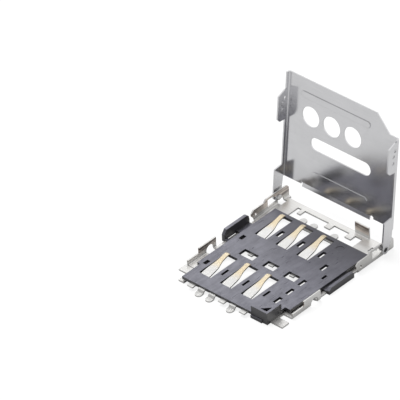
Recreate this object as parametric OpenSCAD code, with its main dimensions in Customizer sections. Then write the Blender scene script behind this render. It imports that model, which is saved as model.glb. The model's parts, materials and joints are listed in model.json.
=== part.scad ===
// Hinged card socket for a 15 x 12 mm card, lid standing open.
// X runs along the contact rows, Y points to the hinge, Z is up from the board.

/* [Card] */
// Width of the card
card_w = 12; // [11.6:0.1:12.6]
// Length of the card
card_l = 15; // [14.7:0.1:15.6]
// Distance between neighbouring contact columns
column_pitch = 2.54; // [2.46:0.02:2.6]
// Distance between the two contact rows
row_pitch = 7.62; // [7.4:0.02:7.8]
// First contact column from the card's left edge
first_column = 2.19; // [2:0.01:2.4]
// Front contact row from the card's front edge
first_row = 4.9; // [4.7:0.05:5.2]
// Distance from the card's front edge back to the origin
origin_back = 8.2; // [7.8:0.1:8.6]
// Part of the card that stands out in front of the housing
card_overhang = 0.3; // [0.15:0.05:0.5]
// Part of the card behind the housing's rear edge
card_past = 1.5; // [1.3:0.05:1.7]
// Free space between the card and each side wall
card_side_gap = 0.32; // [0.25:0.01:0.5]
// Free space between the card and the stop behind it
card_rear_gap = 0.85; // [0.7:0.05:1.1]

/* [Sheet metal] */
// Thickness of the lid and frame sheet
sheet = 0.15; // [0.12:0.01:0.18]
// Outer radius of the folds
fold_r = 0.25; // [0.2:0.01:0.3]
// Clearance between pieces that are fitted together
fit_gap = 0.02; // [0.01:0.01:0.03]

/* [Housing] */
// Left edge of the contact plate from the middle
plate_left = 5.55; // [5.5:0.01:5.65]
// Right edge of the contact plate from the middle
plate_right = 5.8; // [5.6:0.05:5.9]
// Width of the plate's narrower front end
plate_front_w = 10.4; // [10.2:0.1:10.6]
// Length of that narrower front end
plate_front_l = 2.45; // [2.2:0.05:2.6]
// Height of the plate's top over the board
plate_z = 0.6; // [0.55:0.01:0.65]
// Thickness of the contact plate
plate_t = 0.3; // [0.26:0.01:0.34]
// Outer edge of the rails under the plate from the middle
rail_out = 5.4; // [5.35:0.01:5.45]
// Width of the rails under the plate
rail_w = 0.9; // [0.8:0.05:1]
// Width of the cross rib under the plate
cross_rib_w = 0.95; // [0.8:0.05:1]
// Width of a contact window
window_w = 1.42; // [1.3:0.02:1.5]
// Length of a contact window
window_l = 3.72; // [3.6:0.02:3.8]
// Window's rear edge behind the contact point
window_behind = 0.58; // [0.5:0.02:0.64]
// Sideways shift of a window from its column
window_shift = 0.105; // [0.05:0.005:0.15]
// Right end of the openings between the rows, from the contact column
mid_opening_end = 2; // [1.9:0.02:2.1]
// Length of the openings between the rows
mid_opening_l = 0.94; // [0.7:0.02:1]
// Openings between the rows, behind the front contact points
mid_opening_behind = 1.7; // [1.5:0.05:2]
// Width of the narrow tooling slots
tool_slot_w = 0.25; // [0.18:0.01:0.3]
// Width of the tooling slots that show the board
open_slot_w = 0.4; // [0.34:0.01:0.44]
// Length of the tooling slots
tool_slot_l = 0.95; // [0.8:0.05:1.1]
// Tooling slots ahead of the contact points
tool_slot_ahead = 1.68; // [1.5:0.02:1.9]
// Width across the two side ribs
ribs_w = 13.14; // [13.04:0.02:13.16]
// Thickness of a side rib
rib_t = 0.34; // [0.28:0.01:0.36]
// Length of a side rib
rib_l = 3.45; // [3.3:0.05:3.55]
// Front end of the side ribs behind the housing's front
rib_back = 6.95; // [6.9:0.05:7]
// Top of the left rib over the board
left_rib_h = 1.22; // [1.1:0.02:1.26]
// Top of the right rib over the board
right_rib_h = 0.66; // [0.62:0.01:0.75]
// Floor of the groove inside the ribs
groove_z = 0.3; // [0.25:0.01:0.4]
// Top of the key post over the board
post_h = 1.28; // [1.1:0.02:1.4]
// Leg of the key post's triangle
post_leg = 1.95; // [1.7:0.05:2.1]
// Width of the rim on top of the key post
post_rim = 0.26; // [0.2:0.01:0.32]
// Depth of the pocket in the key post
post_pocket = 0.6; // [0.4:0.05:0.7]
// Reach of the key post's toe in front of the housing
post_toe = 0.12; // [0.08:0.01:0.16]

/* [Contacts] */
// Thickness of the contact strip
contact_t = 0.12; // [0.1:0.01:0.14]
// Width of a contact spring at its root
spring_root_w = 1; // [0.9:0.02:1.06]
// Width of a contact spring at its tip
spring_tip_w = 0.46; // [0.36:0.02:0.6]
// Height of the contact point over the board
contact_z = 1.15; // [1:0.01:1.25]
// Radius of the bend at the contact point
spring_tip_r = 0.4; // [0.3:0.02:0.5]
// Width of a solder tail
tail_w = 0.72; // [0.6:0.02:0.8]
// Front tails' reach in front of the housing
front_tail_out = 0.9; // [0.8:0.05:1]
// Rear tails' reach behind the housing
rear_tail_out = 1.05; // [0.9:0.05:1.15]
// Trimmed tie bars' reach in front of the housing
tie_out = 0.5; // [0.3:0.05:0.6]
// Width of a trimmed tie bar
tie_w = 0.66; // [0.5:0.02:0.7]

/* [Frame] */
// Lap of the frame's arms into the rails under the plate
arm_lap = 0.2; // [0.15:0.01:0.3]
// Height of the rear side walls
wall_h = 1.2; // [1.1:0.02:1.3]
// Height of the side walls at the hinge
hinge_wall_h = 1.46; // [1.4:0.02:1.5]
// Gap between the side ribs and the rear side walls
wall_gap = 0.42; // [0.38:0.01:0.5]
// Rear end of the side walls behind the card stop
wall_behind_stop = 0.32; // [0.26:0.02:0.4]
// Length of the higher part of the walls at the hinge
hinge_wall_l = 3.2; // [3:0.05:3.3]
// Height of the front clips
clip_h = 1.15; // [1.05:0.01:1.25]
// Length of the front clips
clip_l = 2.3; // [2.1:0.05:2.5]
// Front end of the clips behind the housing's front
clip_back = 3.6; // [3.5:0.05:3.7]
// Diameter of the hole in a front clip
clip_hole_d = 1; // [0.8:0.02:1.1]
// Height of the low walls ahead of the clips
low_wall_h = 0.62; // [0.5:0.01:0.7]
// Length of the low walls ahead of the clips
low_wall_l = 1.4; // [1.2:0.05:1.45]
// Height of the card stop
stop_h = 1.36; // [1.2:0.02:1.45]
// Width of the card stop
stop_w = 1.7; // [1.5:0.05:1.9]
// Middle of the card stop, sideways from the origin
stop_x = 3.05; // [2.9:0.05:3.2]
// Depth of the strip along the rear edge
rear_strip = 0.6; // [0.5:0.05:0.7]
// Length of the tongues on the rear strip
tongue_l = 0.7; // [0.6:0.02:0.8]
// Reach of a solder foot from the side walls' outer face
foot_out = 0.12; // [0:0.01:0.2]
// Width of a solder foot
foot_w = 0.95; // [0.8:0.05:1.05]

/* [Lid] */
// Outer face of the closed lid over the board
lid_h = 1.83; // [1.78:0.01:1.9]
// Gap between the side walls and the lid's flanges
lid_gap = 0.13; // [0.1:0.01:0.2]
// Angle between the open lid and the closed one
open_angle = 96.7; // [92:0.1:100]
// Hinge axis ahead of the card's rear edge, lid unlocked
hinge_inset = 0.1; // [0:0.05:0.2]
// Height of the hinge axis over the board
hinge_z = 0.78; // [0.74:0.01:0.82]
// Travel of the lid from open to locked
lock_travel = 1; // [0.9:0.05:1.1]
// Radius of a hinge boss
boss_r = 0.28; // [0.24:0.01:0.3]
// Length of the side walls' slots ahead of the locked boss's axis
slot_spare = 0.55; // [0.4:0.05:0.6]
// Headroom over the bosses in the side walls' slots
boss_headroom = 0.18; // [0.1:0.01:0.2]
// Reach of a hinge boss inside the side wall
boss_in = 0.1; // [0.05:0.01:0.2]
// Lid's front edge behind the housing's front when locked
lid_setback = 0.6; // [0.5:0.05:0.7]
// Depth of the low flanges
flange_d = 0.48; // [0.42:0.02:0.56]
// Depth of the latch tabs
latch_d = 1.5; // [1.3:0.02:1.55]
// Length of the latch tabs
latch_l = 3.2; // [3:0.05:3.4]
// Front end of the latch tabs from the lid's front edge
latch_back = 1.8; // [1.75:0.05:2]
// Length of the hinge ears ahead of the axis
ear_l = 2.95; // [2.85:0.05:3.05]
// Radius of the hinge ears' round end
ear_r = 0.44; // [0.42:0.01:0.5]
// Size of the chamfer over the key post
chamfer = 1.62; // [1.5:0.02:1.7]
// Straight edge outside that chamfer
chamfer_side = 1.15; // [1:0.05:1.3]
// Lid's rear edge ahead of the hinge axis
rear_edge_s = 2.05; // [1.95:0.05:2.2]
// Reach of the rear tongue past that edge
lip_l = 0.4; // [0.3:0.02:0.45]
// Droop of the rear tongue towards the board
lip_drop = 0.06; // [0.04:0.01:0.1]
// Diameter of the holes over the front contacts
lid_hole_d = 2.1; // [1.9:0.05:2.3]
// Lid holes ahead of the front contacts when locked
lid_hole_ahead = 0.26; // [0.1:0.02:0.4]
// Long slot behind the holes
slot_behind = 2.6; // [2.4:0.05:2.8]
// Length of the long slot
slot_l = 7.3; // [6.8:0.1:7.6]
// Width of the long slot
slot_w = 1.36; // [1.2:0.02:1.5]
// Width of the pressed stiffening ribs
press_w = 0.64; // [0.5:0.02:0.7]
// Height of the pressed stiffening ribs
press_h = 0.07; // [0.04:0.01:0.09]

/* [Hidden] */
$fn = 48;
// Depth by which cutters pass the faces they cut
cut = 1;
plastic_colour = [0.36, 0.35, 0.4];
frame_colour = [0.86, 0.86, 0.84];
lid_colour = [0.76, 0.76, 0.78];
boss_colour = [0.68, 0.68, 0.7];
contact_colour = [0.93, 0.9, 0.82];

// Places along Y that follow from the card
front_row_y = first_row - origin_back;
row_y = [front_row_y, front_row_y + row_pitch];
housing_front = card_overhang - origin_back;
housing_rear = card_l - card_past - origin_back;
housing_l = housing_rear - housing_front;
stop_y = card_l + card_rear_gap - origin_back;
frame_rear = stop_y + sheet;
hinge_y = card_l - hinge_inset - origin_back;
locked_y = hinge_y - lock_travel;

// Planes across X that follow from the card
wall_in = card_w / 2 + card_side_gap;
wall_out = wall_in + sheet;
plate_low = plate_z - plate_t;
lid_in = wall_out + lid_gap;
lid_out = lid_in + sheet;
arm_in = rail_out - arm_lap;
flat_out = wall_out - fold_r;
rib_out = ribs_w / 2;
rib_in = rib_out - rib_t;

// Lid places, measured from the hinge axis: s along the lid, n across it
lid_outer_n = lid_h - hinge_z;
lid_inner_n = lid_outer_n - sheet;
lid_front_s = locked_y - housing_front - lid_setback;
hole_s = locked_y - front_row_y + lid_hole_ahead;
slot_s = hole_s - slot_behind;
latch_front_s = lid_front_s - latch_back;
latch_rear_s = latch_front_s - latch_l;

// Side ribs, clips and walls along Y
rib_front = housing_front + rib_back;
rib_rear = rib_front + rib_l;
clip_front = housing_front + clip_back;
clip_rear = clip_front + clip_l;
wall_rear = frame_rear + wall_behind_stop;
wall_front = rib_rear + wall_gap;
low_wall_front = clip_front - low_wall_l - sheet;
mid_rear = front_row_y + mid_opening_behind + mid_opening_l / 2;

// Columns of tails and tie bars, sideways from each contact column
tail_shift = [1.12, -0.13, -0.15];
tie_shift = [0, 1.25, 1.25];
// Side run of the rear contacts, sideways from the column, and its width
run_shift = 1.7;
run_w = 0.32;
// Carrier strip of the contacts along the housing's ends
carrier_inset = 0.4;
carrier_w = 0.5;
// Length of the spring's foot inside the plate
foot_l = 0.85;
// Left ends of the openings between the rows, from each contact column
mid_opening_start = [0.3, 0.65, 0.64];
// Tie bars of the rear contacts that end in those openings
link_shift = 1.1;
link_w = 0.5;
link_out = 0.3;

function column_x(i) = first_column - card_w / 2 + i * column_pitch;
function window_front(row) = row_y[row] + window_behind - window_l;

// Bar with round ends, centred, lying along X
module pill(length, width, height) {
    reach = (length - width) / 2;
    for (side = [-1, 1])
        translate([side * reach, 0, 0])
            cylinder(d = width, h = height);
    translate([-reach, -width / 2, 0])
        cube([2 * reach, width, height]);
}

// Rectangle between two corners, grown on all sides
module patch(x0, y0, x1, y1, grow = 0) {
    translate([min(x0, x1) - grow, min(y0, y1) - grow])
        square([abs(x1 - x0) + 2 * grow, abs(y1 - y0) + 2 * grow]);
}

// Folded L section: a flange that ends at x = 0 and a wall of height h on its outer side
module fold_section(flange, h) {
    translate([-flange, 0])
        square([flange - fold_r, sheet]);
    translate([-sheet, fold_r])
        square([sheet, h - fold_r]);
    translate([-fold_r, fold_r])
        intersection() {
            difference() {
                circle(fold_r);
                circle(fold_r - sheet);
            }
            translate([0, -fold_r])
                square(fold_r);
        }
}

// Folded wall along Y from y0 to y1, its outer face at x
module side_fold(x, y0, y1, h) {
    translate([x, y1, 0])
        rotate([90, 0, 0])
            linear_extrude(y1 - y0)
                fold_section(fold_r + sheet, h);
}

// Housing

module contact_window(i, row) {
    translate([column_x(i) + window_shift - window_w / 2, window_front(row), -cut])
        cube([window_w, window_l, plate_z + 2 * cut]);
}

module mid_opening(i) {
    translate([column_x(i) + mid_opening_start[i], mid_rear - mid_opening_l, -cut])
        cube([mid_opening_end - mid_opening_start[i], mid_opening_l, plate_z + 2 * cut]);
}

module tool_slot(x, y, width, length = tool_slot_l) {
    translate([x - width / 2, y - length / 2, -cut])
        cube([width, length, plate_z + 2 * cut]);
}

// Gap in the left rail under a slot, so that the slot shows the board
module rail_gap(y) {
    translate([-rail_out - cut, y - short_slot_l, -cut])
        cube([rail_w + 2 * cut, 2 * short_slot_l, plate_low + cut]);
}

// Slots along the plate's two sides, measured from the front contact row
edge_slots_y = [-1.75, -0.1, 1.6, 4.6];
edge_slot_x = 3.97;
left_slots_y = [-1.58, 3.35];
left_slot_x = -4.9;
short_slot_l = tool_slot_l * 0.7;
// Short slot beside the right rib
rib_slot_pos = [4.95, rib_front + rib_l / 3];
// Round ejector mark near the rear right corner
mark_r = 0.42;
mark_depth = 0.04;
mark_pos = [3.23, housing_rear - 0.92];

// Slots in the front row are narrow, those in the rear row show the board
slot_widths = [tool_slot_w, open_slot_w];

module plate_cuts() {
    for (i = [0:2]) {
        mid_opening(i);
        for (row = [0:1]) {
            contact_window(i, row);
            tool_slot(column_x(i) + column_pitch / 2, row_y[row] - tool_slot_ahead, slot_widths[row]);
        }
    }
    for (y = edge_slots_y)
        tool_slot(edge_slot_x, front_row_y + y, open_slot_w);
    for (y = left_slots_y) {
        tool_slot(left_slot_x, front_row_y + y, open_slot_w, short_slot_l);
        rail_gap(front_row_y + y);
    }
    tool_slot(rib_slot_pos.x, rib_slot_pos.y, tool_slot_w, short_slot_l);
    translate([mark_pos.x, mark_pos.y, plate_z - mark_depth])
        cylinder(r = mark_r, h = cut);
}

// Height of the sloping ends of the side ribs as a share of the rib
rib_slope = 0.4;

// Moulded rib beside the plate, with a groove inside it and sloping ends
module side_rib(h) {
    slope_z = h * rib_slope;
    slope_y = rib_t;
    translate([rail_out - rail_w, rib_front, 0])
        cube([rib_out - rib_t / 2 - rail_out + rail_w, rib_l, groove_z]);
    translate([rib_in, 0, 0])
        rotate([90, 0, 90])
            linear_extrude(rib_t)
                polygon([[rib_front, 0], [rib_rear, 0], [rib_rear, h - slope_z],
                         [rib_rear - slope_y / 4, h - slope_z / 3], [rib_rear - slope_y, h],
                         [rib_front + slope_y, h], [rib_front, h - slope_z]]);
}

// Rails and cross rib that stand on the board and carry the plate
module under_ribs() {
    for (side = [0, 1])
        mirror([side, 0, 0])
            translate([rail_out - rail_w, housing_front + plate_front_l, 0])
                cube([rail_w, housing_l - plate_front_l - rail_w, plate_low + sheet]);
    translate([-rail_out, mid_rear + link_out, 0])
        cube([2 * rail_out, cross_rib_w, plate_low]);
}

// Triangular post that fills the card's cut corner
module key_post() {
    x1 = plate_front_w / 2;
    y0 = housing_front;
    tip_rim = post_rim * 3.6;
    difference() {
        linear_extrude(post_h)
            polygon([[x1 - post_leg, y0], [x1, y0], [x1, y0 + post_leg]]);
        translate([0, 0, post_h - post_pocket])
            linear_extrude(cut)
                polygon([[x1 - post_leg + tip_rim, y0 + post_rim], [x1 - post_rim, y0 + post_rim],
                         [x1 - post_rim, y0 + post_leg - tip_rim]]);
    }
    translate([x1 - post_leg, y0 - post_toe, 0])
        cube([post_leg * 0.7, post_toe + sheet, plate_low]);
}

module housing() {
    color(plastic_colour)
        difference() {
            union() {
                translate([0, 0, plate_low])
                    linear_extrude(plate_t)
                        union() {
                            patch(-plate_front_w / 2, housing_front, plate_front_w / 2, housing_rear);
                            patch(-plate_left, housing_front + plate_front_l, plate_right, housing_rear);
                        }
                under_ribs();
                side_rib(right_rib_h);
                mirror([1, 0, 0])
                    side_rib(left_rib_h);
                key_post();
            }
            plate_cuts();
            translate([0, 0, -cut])
                linear_extrude(cut + sheet + fit_gap)
                    frame_flat(fit_gap);
            translate([0, 0, plate_low - fit_gap])
                linear_extrude(contact_t + 2 * fit_gap)
                    for (i = [0:2])
                        for (row = [0:1])
                            contact_flat(i, row, fit_gap);
        }
}

// Frame

// Arm flange beside the plate, with its solder foot, on the right when side is 1
module arm_flat(side, foot_y, grow) {
    toe = side * (wall_out + foot_out);
    foot_in = (plate_front_w - foot_w) / 2;
    patch(side * arm_in, low_wall_front, side * flat_out, rib_front - 2 * fit_gap, grow);
    patch(side * arm_in, rib_front - 2 * fit_gap, side * (rib_in - 2 * fit_gap), rib_rear + 2 * fit_gap,
          grow);
    patch(side * arm_in, rib_rear + 2 * fit_gap, side * flat_out, frame_rear, grow);
    patch(side * foot_in, foot_y, toe, foot_y + foot_w, grow);
    patch(side * foot_in, foot_y, side * (arm_in + sheet), low_wall_front + foot_w, grow);
}

// Solder feet along Y, tongues between the rear tails, and the rear flats' inner ends
right_foot_y = housing_front + 0.45;
left_foot_y = housing_front + 1.05;
tongues = [[-3.75, 0.42], [-0.27, 0.66], [2.25, 0.72]];
left_flat_end = -4.4;
right_flat_end = 3.5;
// Square window in the rear flat
flat_hole = [0.57, 0.7];
flat_hole_pos = [5.26, frame_rear - 1.3];

// All of the frame that lies flat on the board
module frame_flat(grow = 0) {
    strip_front = frame_rear - rear_strip;
    arm_flat(1, right_foot_y, grow);
    arm_flat(-1, left_foot_y, grow);
    patch(-plate_front_w / 2 - tie_w / 2, housing_front - sheet, -plate_front_w / 2 + tie_w / 2,
          left_foot_y + foot_w, grow);
    patch(-flat_out, strip_front, flat_out, frame_rear, grow);
    patch(-flat_out, housing_rear - arm_lap, left_flat_end, frame_rear, grow);
    patch(flat_out, housing_rear - arm_lap, right_flat_end, frame_rear, grow);
    for (t = tongues)
        patch(t[0] - t[1] / 2, strip_front - tongue_l, t[0] + t[1] / 2, strip_front + sheet, grow);
}

// Slot in the side wall that the hinge boss runs in
module boss_slot() {
    r = boss_r + fit_gap;
    slot_front = locked_y - slot_spare;
    translate([wall_in - cut, hinge_y, hinge_z])
        rotate([0, 90, 0])
            cylinder(r = r, h = sheet + 2 * cut);
    translate([wall_in - cut, slot_front, hinge_z - r])
        cube([sheet + 2 * cut, hinge_y - slot_front, 2 * r]);
    translate([wall_in - cut, slot_front, hinge_z])
        cube([sheet + 2 * cut, lock_travel, r + boss_headroom]);
}

// Outline of a folded side, given as [y, z] points, used to trim it
module side_outline(points) {
    translate([wall_in - cut, 0, 0])
        rotate([90, 0, 90])
            linear_extrude(sheet + 2 * cut)
                polygon(points);
}

// Small hole near the front end of the rear walls
pilot_d = 0.3;
pilot_back = 0.6;
// Slant of the rear walls' front end and radius of their rear corner
nose = 0.3;
corner_r = 0.45;

// Side wall from the rib back past the hinge, with the boss slot
module rear_wall() {
    hinge_front = wall_rear - hinge_wall_l;
    rise = hinge_wall_h - wall_h;
    difference() {
        intersection() {
            side_fold(wall_out, wall_front, wall_rear, hinge_wall_h);
            side_outline(concat(
                [[wall_front + nose, -cut], [wall_rear + cut, -cut], [wall_rear + cut, 0],
                 [wall_rear, fold_r]],
                [for (a = [0:15:90])
                    [wall_rear - corner_r * (1 - cos(a)), hinge_wall_h - corner_r * (1 - sin(a))]],
                [[hinge_front, hinge_wall_h], [hinge_front - rise, wall_h], [wall_front + nose, wall_h],
                 [wall_front, wall_h - nose], [wall_front, wall_h - 2 * nose], [wall_front + nose, fold_r]]));
        }
        boss_slot();
        translate([wall_in - cut, wall_front + pilot_back, wall_h / 2])
            rotate([0, 90, 0])
                cylinder(d = pilot_d, h = sheet + 2 * cut);
    }
}

// Upright clip beside the front contacts, and the low wall ahead of it
module front_clip() {
    intersection() {
        side_fold(wall_out, clip_front, clip_rear, clip_h);
        side_outline([[clip_front - cut, -cut], [clip_rear - sheet, -cut], [clip_rear, fold_r],
                      [clip_rear, clip_h + cut], [clip_front - cut, clip_h + cut]]);
    }
    side_fold(wall_out, low_wall_front, clip_front + sheet, low_wall_h);
}

// Round relief across the fold of a front clip
module clip_relief() {
    y = clip_rear - clip_l * 0.37;
    translate([wall_in - cut, y, fold_r])
        rotate([0, 90, 0])
            cylinder(d = clip_hole_d, h = sheet + 2 * cut);
    translate([wall_in, y, -cut])
        cylinder(d = clip_hole_d, h = cut + fold_r);
}

// Relief across the fold under the left boss: along Y, up the wall and in from the wall's inner face
boss_relief = [0.85, 0.46, 0.42];
module left_relief() {
    translate([-wall_out - cut, hinge_y + lock_travel / 4 - boss_relief.x / 2, -cut])
        cube([sheet + cut + boss_relief.z, boss_relief.x, cut + boss_relief.y]);
}

// Upright tab behind the card
module card_stop() {
    translate([stop_x - stop_w / 2, frame_rear, 0])
        rotate([90, 0, 90])
            linear_extrude(stop_w)
                fold_section(fold_r + sheet, stop_h);
}

module frame() {
    color(frame_colour)
        difference() {
            union() {
                difference() {
                    linear_extrude(sheet)
                        frame_flat();
                    translate([stop_x - stop_w / 2, frame_rear - fold_r, -cut])
                        cube([stop_w, fold_r + cut, sheet + 2 * cut]);
                }
                card_stop();
                for (side = [0, 1])
                    mirror([side, 0, 0]) {
                        rear_wall();
                        front_clip();
                    }
            }
            translate([flat_hole_pos.x - flat_hole.x / 2, flat_hole_pos.y - flat_hole.y / 2, -cut])
                cube([flat_hole.x, flat_hole.y, sheet + 2 * cut]);
            left_relief();
            for (side = [0, 1])
                mirror([side, 0, 0])
                    clip_relief();
        }
}

// Contacts

// Flat part of a contact, in the plate's underside: pad under the spring, carrier, tie bars, tail's start
module contact_flat(i, row, grow = 0) {
    x = column_x(i);
    tail_x = x + tail_shift[i];
    root = window_front(row);
    pad_front = root - foot_l;
    patch(x - spring_root_w / 2, pad_front, x + spring_root_w / 2, root, grow);
    if (row == 0) {
        tie_x = x + tie_shift[i];
        carrier = housing_front + carrier_inset;
        patch(tail_x - tail_w / 2, housing_front, tail_x + tail_w / 2, carrier + carrier_w, grow);
        patch(tie_x - tie_w / 2, housing_front - tie_out, tie_x + tie_w / 2, carrier + carrier_w, grow);
        patch(min(tail_x - tail_w / 2, tie_x - tie_w / 2), carrier,
              max(tail_x + tail_w / 2, tie_x + tie_w / 2), carrier + carrier_w, grow);
        patch(x - spring_root_w / 2, carrier, x + spring_root_w / 2, root, grow);
    } else {
        run_x = x + run_shift;
        link_x = x + link_shift;
        carrier = housing_rear - carrier_inset;
        patch(x - spring_root_w / 2, pad_front, run_x + run_w / 2, pad_front + run_w, grow);
        patch(link_x - link_w / 2, mid_rear - link_out, link_x + link_w / 2, pad_front + run_w, grow);
        patch(run_x - run_w / 2, pad_front, run_x + run_w / 2, carrier, grow);
        patch(min(tail_x - tail_w / 2, run_x - run_w / 2), carrier - carrier_w * 0.4,
              max(tail_x + tail_w / 2, run_x + run_w / 2), carrier, grow);
        patch(tail_x - tail_w / 2, carrier - carrier_w * 0.4, tail_x + tail_w / 2, housing_rear, grow);
    }
}

// Direction of a line of points at point k, and the point moved d to its left
function heading(line, k) =
    let (a = line[max(k - 1, 0)], b = line[min(k + 1, len(line) - 1)])
    (b - a) / norm(b - a);
function beside(line, k, d) = line[k] + d * [-heading(line, k).y, heading(line, k).x];

// Strip of contact metal bent along a line of [y, z] points, w wide
module bent_strip(line, w) {
    last = len(line) - 1;
    upper = [for (k = [0:last]) beside(line, k, contact_t / 2)];
    lower = [for (k = [last:-1:0]) beside(line, k, -contact_t / 2)];
    translate([-w / 2, 0, 0])
        rotate([90, 0, 90])
            linear_extrude(w)
                polygon(concat(upper, lower));
}

// Middle height of the contact metal in the plate and on the board
strip_z = plate_low + contact_t / 2;
board_z = contact_t / 2;
// Solder tail's bend from the plate down to the board
bend_start = 0.06;
bend_l = 0.3;

// Solder tail that steps down to the board, drawn from the housing's edge outwards along +Y
module solder_tail(reach) {
    drop = strip_z - board_z;
    line = [[-contact_t, strip_z], [bend_start, strip_z], [bend_start + bend_l / 4, strip_z - drop * 0.15],
            [bend_start + bend_l * 3 / 4, board_z + drop * 0.15], [bend_start + bend_l, board_z],
            [reach, board_z]];
    intersection() {
        bent_strip(line, tail_w);
        linear_extrude(plate_z + cut)
            union() {
                translate([0, reach - tail_w / 2])
                    circle(d = tail_w);
                patch(-tail_w / 2, -contact_t, tail_w / 2, reach - tail_w / 2);
            }
    }
}

// Middle line of the spring seen from the side: foot, straight arm, round contact point
spring_l = window_l - window_behind;
spring_rise = contact_z - contact_t / 2 - strip_z;
arm_angle = atan2(spring_rise, spring_l);
tip_turn = 52;
arc_steps = 8;
spring_line = concat(
    [[-contact_t, strip_z], [0, strip_z]],
    [for (k = [0:arc_steps])
        let (a = 90 + arm_angle - (arm_angle + tip_turn) * k / arc_steps)
        [spring_l + spring_tip_r * cos(a), contact_z - contact_t / 2 - spring_tip_r * (1 - sin(a))]]);

// Half width of the spring at the share u of its length: broad root, shoulders, slender finger
// The left side narrows sooner than the right side
left_neck_from = 0.06;
right_neck_from = 0.38;
neck_to = 0.82;
function neck(u, from) = (1 - cos(180 * min(max((u - from) / (neck_to - from), 0), 1))) / 2;
function spring_half(u, from) = (spring_root_w + (spring_tip_w - spring_root_w) * neck(u, from)) / 2;

// Spring tongue: its side profile, trimmed to its plan
module spring() {
    reach = spring_l + spring_tip_r;
    plan_steps = 12;
    shares = [for (k = [0:plan_steps]) k / plan_steps];
    right = [for (u = shares) [spring_half(u, right_neck_from), spring_l * u]];
    left = [for (u = shares) [-spring_half(1 - u, left_neck_from), spring_l * (1 - u)]];
    intersection() {
        bent_strip(spring_line, spring_root_w);
        linear_extrude(contact_z + cut)
            polygon(concat([[spring_root_w / 2, -cut]], right,
                           [[spring_tip_w / 3, reach], [-spring_tip_w / 3, reach]],
                           left, [[-spring_root_w / 2, -cut]]));
    }
}

module contact(i, row) {
    x = column_x(i);
    color(contact_colour)
        union() {
            translate([0, 0, plate_low])
                linear_extrude(contact_t)
                    contact_flat(i, row);
            translate([x, window_front(row), 0])
                spring();
            if (row == 0)
                translate([x + tail_shift[i], housing_front, 0])
                    rotate([0, 0, 180])
                        solder_tail(front_tail_out);
            else
                translate([x + tail_shift[i], housing_rear, 0])
                    solder_tail(rear_tail_out);
        }
}

// Lid, drawn closed with the hinge axis at the origin

// Cross section through panel and low flanges, open side down
module lid_section() {
    difference() {
        union() {
            for (side = [-1, 1])
                translate([side * (lid_out - fold_r), lid_outer_n - fold_r])
                    circle(fold_r);
            patch(-lid_out + fold_r, lid_outer_n - fold_r, lid_out - fold_r, lid_outer_n);
            patch(-lid_out, lid_outer_n - flange_d, lid_out, lid_outer_n - fold_r);
        }
        for (side = [-1, 1])
            translate([side * (lid_out - fold_r), lid_outer_n - fold_r])
                circle(fold_r - sheet);
        patch(-lid_in + fold_r - sheet, lid_outer_n - fold_r - cut, lid_in - fold_r + sheet, lid_inner_n);
        patch(-lid_in, lid_outer_n - flange_d - cut, lid_in, lid_outer_n - fold_r);
    }
}

// Side plate of the lid between two outlines of [s, n] points
module lid_side(points) {
    translate([lid_in, 0, 0])
        rotate([90, 0, 90])
            linear_extrude(sheet)
                polygon([for (p = points) [-p[0], p[1]]]);
}

// Latch tab with a slanted front corner, a small slot and two pressed dimples, placed from its front end
latch_slot = [0.34, 0.24];
latch_slot_back = 0.84;
latch_slot_depth = 0.61;
dimples_back = [1.42, 2.12];
dimple_depth = 0.8;
dimple_r = 0.24;
dimple_h = 0.06;
slant = [0.45, 0.8];
corner = 0.3;
module latch_tab() {
    low = lid_outer_n - latch_d;
    dimple_n = lid_outer_n - dimple_depth;
    difference() {
        union() {
            lid_side([[latch_rear_s, lid_outer_n - fold_r], [latch_front_s, lid_outer_n - fold_r],
                      [latch_front_s, low + slant.y], [latch_front_s - slant.x, low],
                      [latch_rear_s + corner, low], [latch_rear_s, low + corner]]);
            for (back = dimples_back)
                translate([lid_in - dimple_h, back - latch_front_s, dimple_n])
                    rotate([0, 90, 0])
                        cylinder(r = dimple_r, h = dimple_h + sheet / 2);
        }
        translate([lid_in - cut, latch_slot_back - latch_front_s, lid_outer_n - latch_slot_depth])
            translate([0, -latch_slot.x / 2, -latch_slot.y / 2])
                cube([sheet + 2 * cut, latch_slot.x, latch_slot.y]);
        for (back = dimples_back)
            translate([lid_out - dimple_h, back - latch_front_s, dimple_n])
                rotate([0, 90, 0])
                    cylinder(r = dimple_r - sheet / 2, h = cut);
    }
}

// Hinge ear with a round end, a front edge that rises towards the fold, and the boss hole
ear_rise = 0.27;
module hinge_ear() {
    top = lid_outer_n - fold_r;
    difference() {
        union() {
            lid_side([[ear_l + ear_rise, top], [rear_edge_s, top], [ear_r * 1.5, top * 0.85], [0, ear_r],
                      [0, -ear_r], [ear_l, -ear_r]]);
            translate([lid_in, 0, 0])
                rotate([0, 90, 0])
                    cylinder(r = ear_r, h = sheet);
        }
        translate([lid_in - cut, 0, 0])
            rotate([0, 90, 0])
                cylinder(r = boss_r + fit_gap, h = sheet + 2 * cut);
    }
}

// Pressed ribs: [middle x, middle s, length]
front_press = [-0.88, lid_front_s - 1.65, 8.36];
rear_press = [0.08, rear_edge_s + 1.35, 6.65];
// Rear tongue's side ends, the panel's shoulders beside it and the relief notch between them
lip_x = [-4.3, 3.92];
shoulder = 0.2;
notch_w = 0.4;
notch_d = 0.1;

module press_at(press, n, width, height) {
    translate([press[0], -press[1], n])
        pill(press[2] - press_w + width, width, height);
}

// Drooping tongue along the rear edge
module rear_lip() {
    translate([lip_x[0], 0, 0])
        rotate([90, 0, 90])
            linear_extrude(lip_x[1] - lip_x[0])
                polygon([[-rear_edge_s - sheet, lid_outer_n], [-rear_edge_s - sheet, lid_inner_n],
                         [-rear_edge_s, lid_inner_n], [-rear_edge_s + lip_l, lid_inner_n - lip_drop],
                         [-rear_edge_s + lip_l + sheet / 3, lid_outer_n - lip_drop - sheet / 5],
                         [-rear_edge_s, lid_outer_n]]);
}

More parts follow.
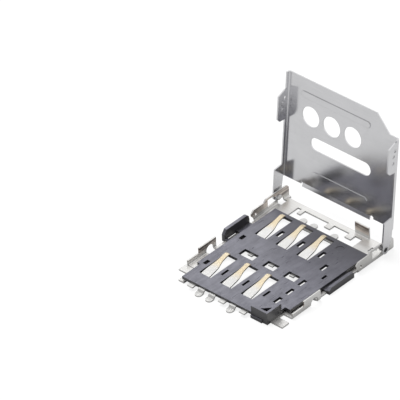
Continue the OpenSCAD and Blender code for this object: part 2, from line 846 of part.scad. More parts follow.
module lid_closed() {
    corner_x = lid_out - chamfer_side;
    corner_s = lid_front_s - chamfer;
    difference() {
        union() {
            difference() {
                translate([0, shoulder - rear_edge_s, 0])
                    rotate([90, 0, 0])
                        linear_extrude(lid_front_s - rear_edge_s + shoulder)
                            lid_section();
                translate([lip_x[0] - notch_w / 2, -rear_edge_s, lid_inner_n - cut])
                    cube([lip_x[1] - lip_x[0] + notch_w, shoulder + cut, sheet + 2 * cut]);
            }
            rear_lip();
            for (side = [0, 1])
                mirror([side, 0, 0]) {
                    latch_tab();
                    hinge_ear();
                }
            press_at(front_press, lid_inner_n - press_h, press_w, press_h + sheet / 2);
            press_at(rear_press, lid_inner_n - press_h, press_w, press_h + sheet / 2);
        }
        press_at(front_press, lid_outer_n - press_h, press_w - 2 * sheet, cut);
        press_at(rear_press, lid_outer_n - press_h, press_w - 2 * sheet, cut);
        translate([0, 0, -cut])
            linear_extrude(lid_h + 2 * cut)
                polygon([[corner_x - chamfer, -lid_front_s], [corner_x, -corner_s],
                         [lid_out + cut, -corner_s], [lid_out + cut, -lid_front_s - cut],
                         [corner_x - chamfer, -lid_front_s - cut]]);
        translate([lip_x[1] + notch_w / 2, -rear_edge_s, lid_inner_n - cut])
            linear_extrude(sheet + 2 * cut)
                polygon([[-notch_w / 2, shoulder + cut], [-notch_w / 2, 0], [0, -notch_d], [notch_w / 2, 0],
                         [notch_w / 2, shoulder + cut]]);
        for (i = [0:2])
            translate([column_x(i), -hole_s, lid_inner_n - cut])
                cylinder(d = lid_hole_d, h = sheet + 2 * cut);
        translate([0, -slot_s, lid_inner_n - cut])
            pill(slot_l, slot_w, sheet + 2 * cut);
    }
}

module lid() {
    color(lid_colour)
        translate([0, hinge_y, hinge_z])
            rotate([-open_angle, 0, 0])
                lid_closed();
}

// Hinge bosses: drawn cups in the ears that run in the side walls' slots
cup_r = boss_r * 0.75;
cup_depth = 0.32;
module hinge_bosses() {
    from = wall_in - boss_in;
    color(boss_colour)
        for (side = [0, 1])
            mirror([side, 0, 0])
                translate([from, hinge_y, hinge_z])
                    rotate([0, 90, 0])
                        difference() {
                            cylinder(r = boss_r, h = lid_out - from);
                            translate([0, 0, lid_out - from - cup_depth])
                                cylinder(r = cup_r, h = cut);
                        }
}

housing();
frame();
lid();
hinge_bosses();
contact(0, 1);  // contact_c1
contact(1, 1);  // contact_c2
contact(2, 1);  // contact_c3
contact(0, 0);  // contact_c5
contact(1, 0);  // contact_c6
contact(2, 0);  // contact_c7
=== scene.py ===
import json
import math

import bmesh
import bpy
import numpy as np
from mathutils import Matrix, Vector


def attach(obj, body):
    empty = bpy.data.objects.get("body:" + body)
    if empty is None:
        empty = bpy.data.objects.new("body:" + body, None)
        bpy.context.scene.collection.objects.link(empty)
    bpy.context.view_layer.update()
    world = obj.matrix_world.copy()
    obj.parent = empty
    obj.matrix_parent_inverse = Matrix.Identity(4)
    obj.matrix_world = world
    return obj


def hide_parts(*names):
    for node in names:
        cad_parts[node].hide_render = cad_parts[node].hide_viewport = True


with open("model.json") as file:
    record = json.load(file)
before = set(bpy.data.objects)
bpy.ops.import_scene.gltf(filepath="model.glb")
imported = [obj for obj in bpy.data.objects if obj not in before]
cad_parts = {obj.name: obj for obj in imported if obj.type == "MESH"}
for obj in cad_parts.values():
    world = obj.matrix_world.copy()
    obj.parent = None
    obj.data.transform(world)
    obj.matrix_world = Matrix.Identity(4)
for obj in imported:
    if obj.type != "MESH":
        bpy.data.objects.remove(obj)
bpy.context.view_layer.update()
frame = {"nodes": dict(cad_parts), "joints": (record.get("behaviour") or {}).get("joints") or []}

# Frame
# The frame is one strip of thin tin-plated stainless sheet, blanked, folded up along both sides and
# soldered to the board by its feet. Blanking rolls its edges over and leaves their cut sides grey, a grey
# that is partly painted shade, and rolling leaves fine lines. Brown streaks on the card stop and inside the
# left walls are a painted dark reflection on upright faces.
MM = 0.001
SAME_POINT = 0.0005 * MM
SHARP = math.radians(5)
LARGE_FACES_LEAD = 100


def smooth_copy(node, name, body):
    """Merged copy of a CAD node: smooth over bends, sharp over SHARP and at open edges, flat on flats."""
    mesh = frame["nodes"][node].data.copy()
    mesh.name = name
    mesh.materials.clear()
    work = bmesh.new()
    work.from_mesh(mesh)
    bmesh.ops.remove_doubles(work, verts=work.verts, dist=SAME_POINT)
    for edge in work.edges:
        edge.smooth = len(edge.link_faces) == 2 and edge.calc_face_angle() < SHARP
    work.to_mesh(mesh)
    work.free()
    mesh.polygons.foreach_set("use_smooth", np.ones(len(mesh.polygons), bool))
    piece = bpy.data.objects.new(name, mesh)
    bpy.context.scene.collection.objects.link(piece)
    flat = piece.modifiers.new("flat faces", "WEIGHTED_NORMAL")
    flat.weight = LARGE_FACES_LEAD
    flat.keep_sharp = True
    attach(piece, body)
    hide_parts(node)
    return piece


def feed(tree, node, inputs):
    """Gives each named input of a shader node its plain value, or links it to another node's output."""
    for key, value in inputs.items():
        if isinstance(value, bpy.types.NodeSocket):
            tree.links.new(value, node.inputs[key])
        else:
            node.inputs[key].default_value = value


def put(tree, kind, inputs=(), **settings):
    """Adds a shader node with its settings and feeds its inputs."""
    node = tree.nodes.new(kind)
    for key, value in settings.items():
        setattr(node, key, value)
    feed(tree, node, dict(inputs))
    return node


def between(tree, share, first, second):
    """Colour that goes from the first to the second as the share goes from 0 to 1."""
    return put(tree, "ShaderNodeMix", {0: share, 6: first, 7: second}, data_type="RGBA").outputs[2]


def ramp(tree, value, start, stop, low=0, high=1, **settings):
    """Value that goes from low to high while another goes from start to stop, and stays level beyond."""
    limits = {"Value": value, "From Min": start, "From Max": stop, "To Min": low, "To Max": high}
    return put(tree, "ShaderNodeMapRange", limits, **settings).outputs[0]


def work_out(tree, operation, *values):
    """Result of one Math node on those values."""
    return put(tree, "ShaderNodeMath", dict(enumerate(values)), operation=operation).outputs[0]


def stretched(tree, place, scales):
    """Coordinates times a scale along each axis: a pattern on them is drawn out where it is small."""
    return put(tree, "ShaderNodeVectorMath", {0: place, 1: scales}, operation="MULTIPLY").outputs[0]


def axes(tree, vector):
    """The X, Y and Z of a vector, by name."""
    return put(tree, "ShaderNodeSeparateXYZ", {"Vector": vector}).outputs


def noise(tree, place, scale, detail, roughness=0.5, distortion=0):
    """Soft noise from 0 to 1, mostly near a half."""
    look = {"Scale": scale, "Detail": detail, "Roughness": roughness, "Distortion": distortion}
    return put(tree, "ShaderNodeTexNoise", {"Vector": place, **look}).outputs["Fac"]


def effect(name, inputs, outputs):
    """Empty shader node group with named sockets: returns the group, its input node and its output node."""
    group = bpy.data.node_groups.new(name, "ShaderNodeTree")
    for way, sockets in (("INPUT", inputs), ("OUTPUT", outputs)):
        for key, kind in sockets.items():
            group.interface.new_socket(key, in_out=way, socket_type="NodeSocket" + kind)
    return group, group.nodes.new("NodeGroupInput"), group.nodes.new("NodeGroupOutput")


PER_MM = (1 / MM, 1 / MM, 1 / MM)
FOLDED_SIDE = 0.7
SMEARS_PER_MM = 0.45
TONE_DARK, TONE_LIGHT = 0.7, 1.3
LINE_DEPTH = 0.0006 * MM
LINE_STRENGTH = 0.5
EDGE_SAMPLES = 6
CUT_EDGE_REACH = 0.07 * MM
# Grey of cut edges: partly the matt cut side, partly painted shade outlining each edge.
CUT_EDGE_GREY_SHADE = (0.2, 0.195, 0.19, 1)
CUT_STARTS, CUT_FULL = 0.99, 0.8


def rolled_sheet_effect():
    """Rolling lines (noise drawn out along the rolling direction), soft smears, rolled and grey cut edges,
    the grey partly painted shade.

    On sides folded to face along X, the lines' X and Y scales change places, so they run along the fold.
    A cut edge is where the normal, averaged over CUT_EDGE_REACH, leaves the face's own: it is grey there,
    partly as the matt cut side and partly as painted shade outlining the edge.
    """
    group, given, result = effect(
        "rolled_sheet",
        {"Vector": "Vector", "Lines": "Vector", "Light": "Color", "Dark": "Color", "Roughness": "Float",
         "Smear": "Float", "Rollover": "Float", "Cut Edges": "Float"},
        {"Colour": "Color", "Roughness": "Float", "Normal": "Vector"})
    value = given.outputs
    place = stretched(group, value["Vector"], PER_MM)
    normal = put(group, "ShaderNodeNewGeometry").outputs["Normal"]
    sideways = work_out(group, "ABSOLUTE", axes(group, normal)["X"])
    folded = work_out(group, "GREATER_THAN", sideways, FOLDED_SIDE)
    scale = axes(group, value["Lines"])
    swapped = put(group, "ShaderNodeCombineXYZ", {"X": scale["Y"], "Y": scale["X"], "Z": scale["Z"]})
    choice = {0: folded, 4: value["Lines"], 5: swapped.outputs[0]}
    scales = put(group, "ShaderNodeMix", choice, data_type="VECTOR").outputs[1]
    lines = noise(group, stretched(group, place, scales), 1, detail=3, roughness=0.6)
    smears = noise(group, place, SMEARS_PER_MM, detail=4, roughness=0.55, distortion=0.6)
    tone = ramp(group, work_out(group, "ADD", lines, smears), TONE_DARK, TONE_LIGHT)
    colour = between(group, tone, value["Dark"], value["Light"])
    centred = work_out(group, "SUBTRACT", smears, 0.5)
    rough = work_out(group, "MULTIPLY_ADD", centred, value["Smear"], value["Roughness"])
    edges = put(group, "ShaderNodeBevel", {"Radius": value["Rollover"]}, samples=EDGE_SAMPLES).outputs[0]
    relief = put(group, "ShaderNodeBump", {"Strength": LINE_STRENGTH, "Distance": LINE_DEPTH,
                                           "Height": lines, "Normal": edges}).outputs[0]
    # Painted shade along cut edges, partly the matt cut side: grey where the averaged normal leaves the
    # face's own.
    around = put(group, "ShaderNodeBevel", {"Radius": CUT_EDGE_REACH}, samples=EDGE_SAMPLES).outputs[0]
    agreement = put(group, "ShaderNodeVectorMath", {0: around, 1: normal}, operation="DOT_PRODUCT")
    cut = ramp(group, agreement.outputs["Value"], CUT_STARTS, CUT_FULL, high=value["Cut Edges"])
    edged = between(group, cut, colour, CUT_EDGE_GREY_SHADE)
    feed(group, result, {"Colour": edged, "Roughness": rough, "Normal": relief})
    return group


rolled_sheet = rolled_sheet_effect()
CORNER_SAMPLES = 8
CORNER_OPEN, CORNER_CLOSED = 0.75, 0.2


def painted_corner_shade_effect():
    """Painted corner shade: colour going dark by Share where the piece's own walls close in within Reach."""
    group, given, result = effect(
        "painted_corner_shade",
        {"Colour": "Color", "Dark": "Color", "Reach": "Float", "Share": "Float"},
        {"Colour": "Color"})
    value = given.outputs
    openness = put(group, "ShaderNodeAmbientOcclusion", {"Distance": value["Reach"]},
                   samples=CORNER_SAMPLES, only_local=True).outputs["AO"]
    closed = ramp(group, openness, CORNER_OPEN, CORNER_CLOSED, high=value["Share"])
    feed(group, result, {"Colour": between(group, closed, value["Colour"], value["Dark"])})
    return group


painted_corner_shade = painted_corner_shade_effect()
# Colour and reach of the painted shade in metal corners.
METAL_CORNER_SHADE = (0.03, 0.028, 0.026, 1)
METAL_CORNER_REACH = 0.35 * MM


def metal_painted_corner_shade(tree, colour, share):
    """A metal's colour with painted shade, by that share, in its corners."""
    corner = {"Colour": colour, "Dark": METAL_CORNER_SHADE, "Reach": METAL_CORNER_REACH, "Share": share}
    return put(tree, "ShaderNodeGroup", corner, node_tree=painted_corner_shade).outputs["Colour"]


def new_material(name):
    """Empty node material: returns it, its tree, its Principled shader and its Object coordinates."""
    material = bpy.data.materials.new(name)
    material.use_nodes = True
    tree = material.node_tree
    shader = tree.nodes["Principled BSDF"]
    return material, tree, shader, put(tree, "ShaderNodeTexCoord").outputs["Object"]


SHEET_ROLLOVER = 0.035 * MM
CUT_EDGES = 0.6


def sheet_metal(name, light, dark, roughness, smear, lines, corners, cut_edges=CUT_EDGES, metallic=1):
    """Bare or plated sheet: the rolled sheet effect on a metal; matt plating is a little less than metal."""
    material, tree, shader, place = new_material(name)
    finish = {"Vector": place, "Lines": lines, "Light": (*light, 1), "Dark": (*dark, 1),
              "Roughness": roughness, "Smear": smear, "Rollover": SHEET_ROLLOVER, "Cut Edges": cut_edges}
    face = put(tree, "ShaderNodeGroup", finish, node_tree=rolled_sheet).outputs
    # The colour gets painted shade in its corners, by the share given as corners.
    feed(tree, shader, {"Base Color": metal_painted_corner_shade(tree, face["Colour"], corners), "Metallic": metallic,
                        "Roughness": face["Roughness"], "Normal": face["Normal"]})
    return material


# Painted dark reflection on upright faces: the scales, levels and colours of its brown streaks.
STREAK_SCALES = (0.3 / MM, 0.3 / MM, 4.5 / MM)
STREAK_FROM, STREAK_TO = 0.38, 0.58
REFLECTION_STREAK_DARK = (0.17, 0.135, 0.115, 1)
REFLECTION_STREAK_LIGHT = (0.8, 0.71, 0.64, 1)
FACES_PARTLY, FACES_FULLY = 0.8, 0.95
STOP_LOW, STOP_HIGH = 0.4 * MM, 0.65 * MM
LEFT_WALL_LOW, LEFT_WALL_HIGH = 0.3 * MM, 0.8 * MM
LEFT_WALL_STREAKS = 0.85


def add_painted_reflection_streaks(material):
    """Painted dark reflection: brown streaks of noise drawn out sideways, growing with height.

    They lie on upright faces that look to the front, as the card stop does, and inside the left walls.
    """
    tree = material.node_tree
    shader = tree.nodes["Principled BSDF"]
    plain = shader.inputs["Base Color"].links[0].from_socket
    place = put(tree, "ShaderNodeTexCoord").outputs["Object"]
    streaks = noise(tree, stretched(tree, place, STREAK_SCALES), 1, detail=2)
    painted_reflection = between(tree, ramp(tree, streaks, STREAK_FROM, STREAK_TO), REFLECTION_STREAK_DARK, REFLECTION_STREAK_LIGHT)
    normal = axes(tree, put(tree, "ShaderNodeNewGeometry").outputs["Normal"])
    # Painted reflection: the streaks go on upright faces by the way they face.
    to_front = ramp(tree, normal["Y"], -FACES_PARTLY, -FACES_FULLY)
    to_right = ramp(tree, normal["X"], FACES_PARTLY, FACES_FULLY, high=LEFT_WALL_STREAKS)
    point = axes(tree, place)
    left_half = work_out(tree, "LESS_THAN", point["X"], 0)
    up_stop = ramp(tree, point["Z"], STOP_LOW, STOP_HIGH)
    up_wall = ramp(tree, point["Z"], LEFT_WALL_LOW, LEFT_WALL_HIGH)
    on_stop = work_out(tree, "MULTIPLY", to_front, up_stop)
    on_wall = work_out(tree, "MULTIPLY", to_right, up_wall)
    share = work_out(tree, "MULTIPLY_ADD", on_wall, left_half, on_stop)
    feed(tree, shader, {"Base Color": between(tree, share, plain, painted_reflection)})


frame_sheet = smooth_copy("frame", "frame_sheet", "base")
frame_steel = sheet_metal(
    "tinned_frame_steel", light=(0.86, 0.855, 0.84), dark=(0.74, 0.73, 0.71), roughness=0.33, smear=0.14,
    lines=(0.7, 16, 16), corners=0.45, metallic=0.8)
add_painted_reflection_streaks(frame_steel)
frame_sheet.data.materials.append(frame_steel)

# Contacts
# Six springs of thin copper alloy strip, each blanked and bent in one piece with its solder tail. The strip
# is plated with bright tin, and its slender half with a pale flash of gold up to the contact point.
TIN = {"Light": (0.83, 0.825, 0.81, 1), "Dark": (0.72, 0.715, 0.7, 1), "Roughness": 0.32}
GOLD = {"Light": (0.87, 0.77, 0.58, 1), "Dark": (0.79, 0.66, 0.45, 1), "Roughness": 0.3}
STRIP_LINES = (18, 1.2, 1.2)
STRIP_SMEAR = 0.1
STRIP_ROLLOVER = 0.025 * MM
STRIP_CORNERS = 0.3
STRIP_METALLIC = 0.85
GOLD_FROM, GOLD_TO = 0.72 * MM, 0.98 * MM
PLATING_WOBBLE = 0.12 * MM
WOBBLES_PER_MM = 2.4


def plated_strip():
    """Tin below GOLD_FROM, gold above GOLD_TO, with an uneven plating line between them."""
    material, tree, shader, place = new_material("tin_and_gold_strip")
    strip = {"Vector": place, "Lines": STRIP_LINES, "Smear": STRIP_SMEAR, "Rollover": STRIP_ROLLOVER,
             "Cut Edges": CUT_EDGES}
    tin, gold = [put(tree, "ShaderNodeGroup", {**strip, **plating}, node_tree=rolled_sheet).outputs
                 for plating in (TIN, GOLD)]
    wobble = noise(tree, place, WOBBLES_PER_MM / MM, detail=2)
    level = work_out(tree, "MULTIPLY_ADD", wobble, PLATING_WOBBLE, axes(tree, place)["Z"])
    gilt = ramp(tree, level, GOLD_FROM, GOLD_TO, interpolation_type="SMOOTHSTEP")
    colour = between(tree, gilt, tin["Colour"], gold["Colour"])
    rough = put(tree, "ShaderNodeMix", {0: gilt, 2: tin["Roughness"], 3: gold["Roughness"]}).outputs[0]
    # Tin and gold get painted shade in the strip's corners.
    feed(tree, shader, {"Base Color": metal_painted_corner_shade(tree, colour, STRIP_CORNERS), "Roughness": rough,
                        "Normal": tin["Normal"], "Metallic": STRIP_METALLIC})
    return material


strip_metal = plated_strip()
for position in ("c1", "c2", "c3", "c5", "c6", "c7"):
    contact = smooth_copy("contact_" + position, "strip_" + position, "base")
    contact.data.materials.append(strip_metal)

# Housing
# One moulding of black glass-filled plastic, moulded round the frame's arms and the contacts. The tool's
# spark-eroded faces leave it matt with a fine grain, faint flow marks and pale specks of filler.
# Grey of faces that look up: partly the moulding's own tone, partly painted light.
TOP_GREY_DARK = (0.066, 0.066, 0.087, 1)
TOP_GREY_LIGHT = (0.146, 0.146, 0.175, 1)
# Painted shade and dark reflection from the standing lid: black towards a point behind the rear right.
LID_SHADE_BLACK = (0.028, 0.027, 0.035, 1)
LID_SHADE_CENTRE = (3, 11, 0)
LID_SHADE_NEAR, LID_SHADE_FAR = 5, 14
CLOUDS_PER_MM = 0.9
FLOW_SCALES = (2.6, 0.5, 2.6)
FLOW_LOW, FLOW_HIGH = 0.3, 0.7
SMOOTHEST, ROUGHEST = 0.26, 0.4
SPECK_GREY = (0.22, 0.217, 0.23, 1)
SPECKS_PER_MM = 6.5
SPECK_RIM, SPECK_HEART = 0.1, 0.04
SPECK_SHARE = 0.55
GRAIN_PER_MM = 24
GRAIN_DEPTH = 0.004 * MM
GRAIN_STRENGTH = 0.6
MOULD_RADIUS = 0.04 * MM
# Painted shade: faces that leave the vertical go to this black.
SIDE_SHADE_BLACK = (0.022, 0.021, 0.027, 1)
WALL_STEEP, WALL_FLAT = 0.3, 0.8
# Painted shade in the moulding's corners and recesses: its colour, reach and share.
MOULD_CORNER_SHADE = (0.012, 0.011, 0.014, 1)
MOULD_CORNER_REACH = 0.45 * MM
MOULD_CORNERS = 0.7
PLASTIC_IOR = 1.9


def moulded_plastic():
    """Cloudy dark grey with drawn-out flow marks, filler specks and a fine eroded grain, on millimetres.

    The grey is painted darkest at the right end of the rear edge, as painted shade and dark reflection from
    the standing lid, and paler with the distance from a point behind it. Only faces that look up keep the
    grey, partly painted light: the others go to black as the normal leaves the vertical, as painted shade.
    """
    material, tree, shader, place = new_material("black_moulding")
    point = stretched(tree, place, PER_MM)
    clouds = noise(tree, point, CLOUDS_PER_MM, detail=5, roughness=0.62)
    flow = noise(tree, stretched(tree, point, FLOW_SCALES), 1, detail=3, distortion=0.8)
    tone = ramp(tree, work_out(tree, "ADD", clouds, flow), TONE_DARK, TONE_LIGHT)
    top_grey = between(tree, tone, TOP_GREY_DARK, TOP_GREY_LIGHT)
    # Painted shade and dark reflection from the lid: darkest near the rear right, fading with distance.
    way = put(tree, "ShaderNodeVectorMath", {0: point, 1: LID_SHADE_CENTRE}, operation="DISTANCE")
    lid_shade_share = ramp(tree, way.outputs["Value"], LID_SHADE_NEAR, LID_SHADE_FAR, low=1, high=0)
    body = between(tree, lid_shade_share, top_grey, LID_SHADE_BLACK)
    cells = put(tree, "ShaderNodeTexVoronoi", {"Vector": point, "Scale": SPECKS_PER_MM})
    specks = ramp(tree, cells.outputs["Distance"], SPECK_RIM, SPECK_HEART, high=SPECK_SHARE)
    speckled = between(tree, specks, body, SPECK_GREY)
    # Painted light and shade by facing: faces that look up keep the grey, the others go to black.
    upward = axes(tree, put(tree, "ShaderNodeNewGeometry").outputs["Normal"])["Z"]
    side_shaded = between(tree, ramp(tree, upward, WALL_STEEP, WALL_FLAT), SIDE_SHADE_BLACK, speckled)
    # Painted shade: the colour goes dark in the moulding's own corners and recesses.
    corner = {"Colour": side_shaded, "Dark": MOULD_CORNER_SHADE, "Reach": MOULD_CORNER_REACH, "Share": MOULD_CORNERS}
    shaded = put(tree, "ShaderNodeGroup", corner, node_tree=painted_corner_shade).outputs["Colour"]
    rough = ramp(tree, flow, FLOW_LOW, FLOW_HIGH, SMOOTHEST, ROUGHEST)
    edges = put(tree, "ShaderNodeBevel", {"Radius": MOULD_RADIUS}, samples=EDGE_SAMPLES).outputs[0]
    relief = put(tree, "ShaderNodeBump", {"Strength": GRAIN_STRENGTH, "Distance": GRAIN_DEPTH,
                                          "Height": noise(tree, point, GRAIN_PER_MM, detail=2),
                                          "Normal": edges}).outputs[0]
    feed(tree, shader, {"Base Color": shaded, "Roughness": rough, "Normal": relief, "IOR": PLASTIC_IOR})
    return material


moulding = smooth_copy("housing", "housing_moulding", "base")
moulding.data.materials.append(moulded_plastic())

# Hinge bosses
# Two small cups drawn out of the lid's ears. They run in the slots of the frame's side walls, so that the
# lid slides as well as turns. Their metal is set a little darker and rougher than the sheet round it.
bosses = smooth_copy("hinge_bosses", "boss_cups", "bosses")
bosses.data.materials.append(sheet_metal(
    "drawn_boss_steel", light=(0.62, 0.62, 0.63), dark=(0.5, 0.5, 0.51), roughness=0.22, smear=0.12,
    lines=(8, 8, 8), corners=0.5))

# Lid
# One stainless sheet with folded flanges, blanked with three holes and a slot and pressed with two
# stiffening ribs. It stands open on its ears. Its faces keep the dull shine of cold-rolled sheet with
# faint rolling lines.
lid_sheet = smooth_copy("lid", "lid_sheet", "lid")
lid_sheet.data.materials.append(sheet_metal(
    "stainless_lid_steel", light=(0.75, 0.75, 0.765), dark=(0.69, 0.69, 0.705), roughness=0.17, smear=0.07,
    lines=(0.6, 14, 14), corners=0.2, cut_edges=0.15))

# Lid marks
# Thin lines burnt into the lid's outer face by a laser: the outline of a card with its cut corner, and a
# shut and an open padlock, each with an arrow for the way that the lid slides. The burnt metal is dull and
# brownish. All lengths are the lid's own millimetres.
lid_hinge = next(joint for joint in frame["joints"] if joint["name"] == "lid_hinge")
HINGE_Y = lid_hinge["pos_m"][1] / MM
HINGE_Z = lid_hinge["pos_m"][2] / MM
LID_OPEN = math.radians(lid_hinge["range_deg"][1])
LID_OUTER = 1.05
MARK_W = 0.06
MARK_LIFT = 0.002
CARD_X, CARD_Y = -4.72, 4.12
CARD_HALF_W, CARD_HALF_L = 0.9, 0.62
CARD_CUT = 0.3
PADLOCK_X = 5.2
ARROW_HALF_W = 0.5
ARROW_SHARE = 0.3
LOCK_HALF_W = 0.4
LOCK_SHARE = 0.66
BOW_RADIUS = 0.28
BOW_POINTS = 13
LEG_PAST = 0.05
BURNT_DARK = (0.2, 0.185, 0.165, 1)
BURNT_LIGHT = (0.34, 0.32, 0.29, 1)
BURNT_LOW, BURNT_HIGH = 0.35, 0.65
BURNT_SMOOTH, BURNT_ROUGH = 0.4, 0.6
BURNT_PER_MM = 5
BURNT_METALLIC = 0.6


def line_on_lid(across, along, ring):
    """Flat line on the open lid: each point moves half a width both ways, square to its two runs' mean.

    Across and along are measured on the lid, along from the hinge; the lid is turned open about the hinge.
    """
    path = np.stack([across, along], -1)
    if ring:
        before, after = path - np.roll(path, 1, 0), np.roll(path, -1, 0) - path
    else:
        runs = np.diff(path, axis=0)
        before, after = np.vstack([runs[:1], runs]), np.vstack([runs, runs[-1:]])
    before = before / np.linalg.norm(before, axis=1, keepdims=True)
    after = after / np.linalg.norm(after, axis=1, keepdims=True)
    mean = (before + after) / np.linalg.norm(before + after, axis=1, keepdims=True)
    half = MARK_W / 2 / (mean * after).sum(1, keepdims=True)
    offset = np.stack([-mean[:, 1], mean[:, 0]], -1) * half
    both = np.concatenate([path + offset, path - offset])
    height = LID_OUTER + MARK_LIFT
    points = np.stack([both[:, 0],
                       HINGE_Y - both[:, 1] * math.cos(LID_OPEN) + height * math.sin(LID_OPEN),
                       HINGE_Z + both[:, 1] * math.sin(LID_OPEN) + height * math.cos(LID_OPEN)], -1) * MM
    first = np.arange(len(path) if ring else len(path) - 1)
    second = (first + 1) % len(path)
    return points, np.stack([first, second, second + len(path), first + len(path)], -1)


def card_outline():
    """Line of a rectangle about CARD_X, CARD_Y with one corner cut off at 45 degrees."""
    across = np.array([-CARD_HALF_W, CARD_HALF_W, CARD_HALF_W, CARD_HALF_W - CARD_CUT, -CARD_HALF_W])
    along = np.array([-CARD_HALF_L, -CARD_HALF_L, CARD_HALF_L - CARD_CUT, CARD_HALF_L, CARD_HALF_L])
    return line_on_lid(CARD_X + across, CARD_Y + along, ring=True)


def padlock(tip, way, length, shut):
    """Lines of an arrow head, a padlock's body behind it and its bow, which is a half circle on two legs.

    Both legs of a shut padlock reach the body, and one leg of an open padlock ends at the half circle.
    """
    neck, shoulder, crown = ARROW_SHARE * length, LOCK_SHARE * length, length - BOW_RADIUS
    turn = np.linspace(0, math.pi, BOW_POINTS)
    leg_end = (shoulder if shut else crown) - LEG_PAST
    arrow_x, arrow_y = ARROW_HALF_W * np.array([0, 1, -1]), np.array([0, neck, neck])
    body_x, body_y = LOCK_HALF_W * np.array([1, 1, -1, -1]), np.array([neck, shoulder, shoulder, neck])
    bow_x = np.concatenate([[BOW_RADIUS], BOW_RADIUS * np.cos(turn), [-BOW_RADIUS]])
    bow_y = np.concatenate([[shoulder], crown + BOW_RADIUS * np.sin(turn), [leg_end]])
    lines = [(arrow_x, arrow_y, True), (body_x, body_y, True), (bow_x, bow_y, False)]
    return [line_on_lid(PADLOCK_X + x, tip - way * y, ring) for x, y, ring in lines]


def burnt_line():
    """Brown-grey oxide that varies along the line with fine noise."""
    material, tree, shader, place = new_material("burnt_line")
    mottle = noise(tree, place, BURNT_PER_MM / MM, detail=3)
    tone = ramp(tree, mottle, BURNT_LOW, BURNT_HIGH)
    rough = ramp(tree, mottle, 0, 1, BURNT_SMOOTH, BURNT_ROUGH)
    feed(tree, shader, {"Base Color": between(tree, tone, BURNT_DARK, BURNT_LIGHT), "Roughness": rough,
                        "Metallic": BURNT_METALLIC})
    return material


shut_lock = padlock(tip=10.1, way=1, length=2.7, shut=True)
open_lock = padlock(tip=3.3, way=-1, length=3.4, shut=False)
mark_points, mark_faces = [], []
for points, faces in [card_outline(), *shut_lock, *open_lock]:
    mark_faces.append(faces + sum(len(earlier) for earlier in mark_points))
    mark_points.append(points)
mark_mesh = bpy.data.meshes.new("lid_marks")
mark_mesh.from_pydata(np.concatenate(mark_points), [], np.concatenate(mark_faces))
mark_mesh.materials.append(burnt_line())
lid_marks = bpy.data.objects.new("lid_marks", mark_mesh)
bpy.context.scene.collection.objects.link(lid_marks)
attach(lid_marks, "lid")

# Floor and light
# A plain white table under one large soft box overhead, in a white room. The camera sees both white, with
# the socket's soft shadow on the table. The metal mirrors the table a little darker, most so near the
# socket, and the front of the room darker too.
FLOOR_HALF = 0.6
FLOOR_Z = -0.01 * MM
FLOOR_GLOW = 0.85
FLOOR_MIRRORED = 0.76
FLOOR_BOUNCE = 0.12
FLOOR_SHADE_REACH = 4 * MM
FLOOR_SHADE_POWER = 1.6
FLOOR_SHADE_SAMPLES = 8
PAPER_SCALE = 900
PAPER_GREY, PAPER_WHITE = 0.93, 0.97


def white_table():
    """White to the camera with a faint shadow; in the metal it darkens towards the socket."""
    material, tree, shader, place = new_material("white_table")
    tree.nodes.remove(shader)
    tone = ramp(tree, noise(tree, place, PAPER_SCALE, detail=3), 0, 1, PAPER_GREY, PAPER_WHITE)
    lit = put(tree, "ShaderNodeBsdfDiffuse", {"Color": tone}).outputs[0]
    ray = put(tree, "ShaderNodeLightPath").outputs
    openness = put(tree, "ShaderNodeAmbientOcclusion", {"Distance": FLOOR_SHADE_REACH},
                   samples=FLOOR_SHADE_SAMPLES).outputs["AO"]
    shade = work_out(tree, "POWER", openness, FLOOR_SHADE_POWER)
    level = ramp(tree, ray["Is Diffuse Ray"], 0, 1, FLOOR_MIRRORED, FLOOR_BOUNCE)
    shaded = work_out(tree, "MULTIPLY", level, shade)
    strength = ramp(tree, ray["Is Camera Ray"], 0, 1, shaded, 1)
    glow = put(tree, "ShaderNodeEmission", {"Strength": strength}).outputs[0]
    share = ramp(tree, ray["Is Camera Ray"], 0, 1, 1, FLOOR_GLOW)
    mix = put(tree, "ShaderNodeMixShader", {0: share, 1: lit, 2: glow}).outputs[0]
    feed(tree, tree.nodes["Material Output"], {"Surface": mix})
    return material


table_mesh = bpy.data.meshes.new("table")
corner_x, corner_y = np.meshgrid([-FLOOR_HALF, FLOOR_HALF], [-FLOOR_HALF, FLOOR_HALF])
corners = np.stack([corner_x, corner_y, np.full((2, 2), FLOOR_Z)], -1).reshape(-1, 3)
table_mesh.from_pydata(corners, [], [(0, 1, 3, 2)])
table_mesh.materials.append(white_table())
table = bpy.data.objects.new("table", table_mesh)
bpy.context.scene.collection.objects.link(table)

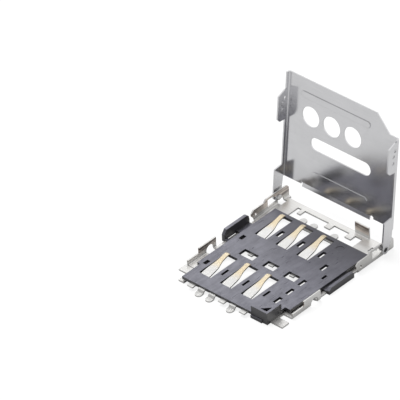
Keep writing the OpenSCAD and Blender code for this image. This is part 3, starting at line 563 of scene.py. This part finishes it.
ROOM_FRONT = 0.4
ROOM_FRONT_FAR, ROOM_FRONT_NEAR = -0.75, -0.2
ROOM_BOUNCE = 0.16
world = bpy.data.worlds.new("white_room")
bpy.context.scene.world = world
world.use_nodes = True
room = world.node_tree
room_ray = put(room, "ShaderNodeLightPath").outputs
seen = work_out(room, "MAXIMUM", room_ray["Is Camera Ray"], room_ray["Is Glossy Ray"])
seen_at_all = work_out(room, "MAXIMUM", seen, room_ray["Is Transmission Ray"])
direction = axes(room, put(room, "ShaderNodeTexCoord").outputs["Generated"])
mirrored = ramp(room, direction["Y"], ROOM_FRONT_FAR, ROOM_FRONT_NEAR, ROOM_FRONT, 1)
shown = work_out(room, "MAXIMUM", mirrored, room_ray["Is Camera Ray"])
room_level = ramp(room, seen_at_all, 0, 1, ROOM_BOUNCE, shown)
feed(room, room.nodes["Background"], {"Color": (1, 1, 1, 1), "Strength": room_level})


def way_from(azimuth, elevation):
    """Direction from the socket to that azimuth, from the front round to the right, and elevation."""
    turn, rise = math.radians(azimuth), math.radians(elevation)
    return Vector((math.sin(turn) * math.cos(rise), -math.cos(turn) * math.cos(rise), math.sin(rise)))


BOX_SIZE = 0.4
BOX_DISTANCE = 0.5
BOX_RADIANCE = 8.6
box_way = way_from(azimuth=255, elevation=66)
lamp = bpy.data.lights.new("overhead_box", "AREA")
lamp.size = BOX_SIZE
lamp.energy = BOX_RADIANCE * math.pi * BOX_SIZE * BOX_SIZE
soft_box = bpy.data.objects.new("overhead_box", lamp)
soft_box.location = box_way * BOX_DISTANCE
soft_box.rotation_euler = (-box_way).to_track_quat("-Z", "Y").to_euler()
soft_box.visible_glossy = False
bpy.context.scene.collection.objects.link(soft_box)

# Camera
# It looks from the front right and above with a long lens, so that edges stay nearly parallel. It is aimed
# left of the socket and turned a little, to set it where it stands in the picture.
AIM = Vector((-6.65, -3.54, 6.07)) * MM
ROLL = math.radians(-2.707)
DISTANCE = 547.476 * MM
LENS_MM = 540
SENSOR_MM = 36
NEAREST = 0.01
back = way_from(azimuth=43.76, elevation=36.129)
level_right = (-back).cross(Vector((0, 0, 1))).normalized()
level_up = level_right.cross(-back)
right = math.cos(ROLL) * level_right + math.sin(ROLL) * level_up
up = -math.sin(ROLL) * level_right + math.cos(ROLL) * level_up
lens = bpy.data.cameras.new("camera")
lens.lens = LENS_MM
lens.sensor_width = SENSOR_MM
lens.clip_start = NEAREST
camera = bpy.data.objects.new("camera", lens)
turned = Matrix((right, up, back)).transposed().to_4x4()
camera.matrix_world = Matrix.Translation(AIM + back * DISTANCE) @ turned
bpy.context.scene.collection.objects.link(camera)
bpy.context.scene.camera = camera
bpy.context.scene.view_settings.view_transform = "Standard"
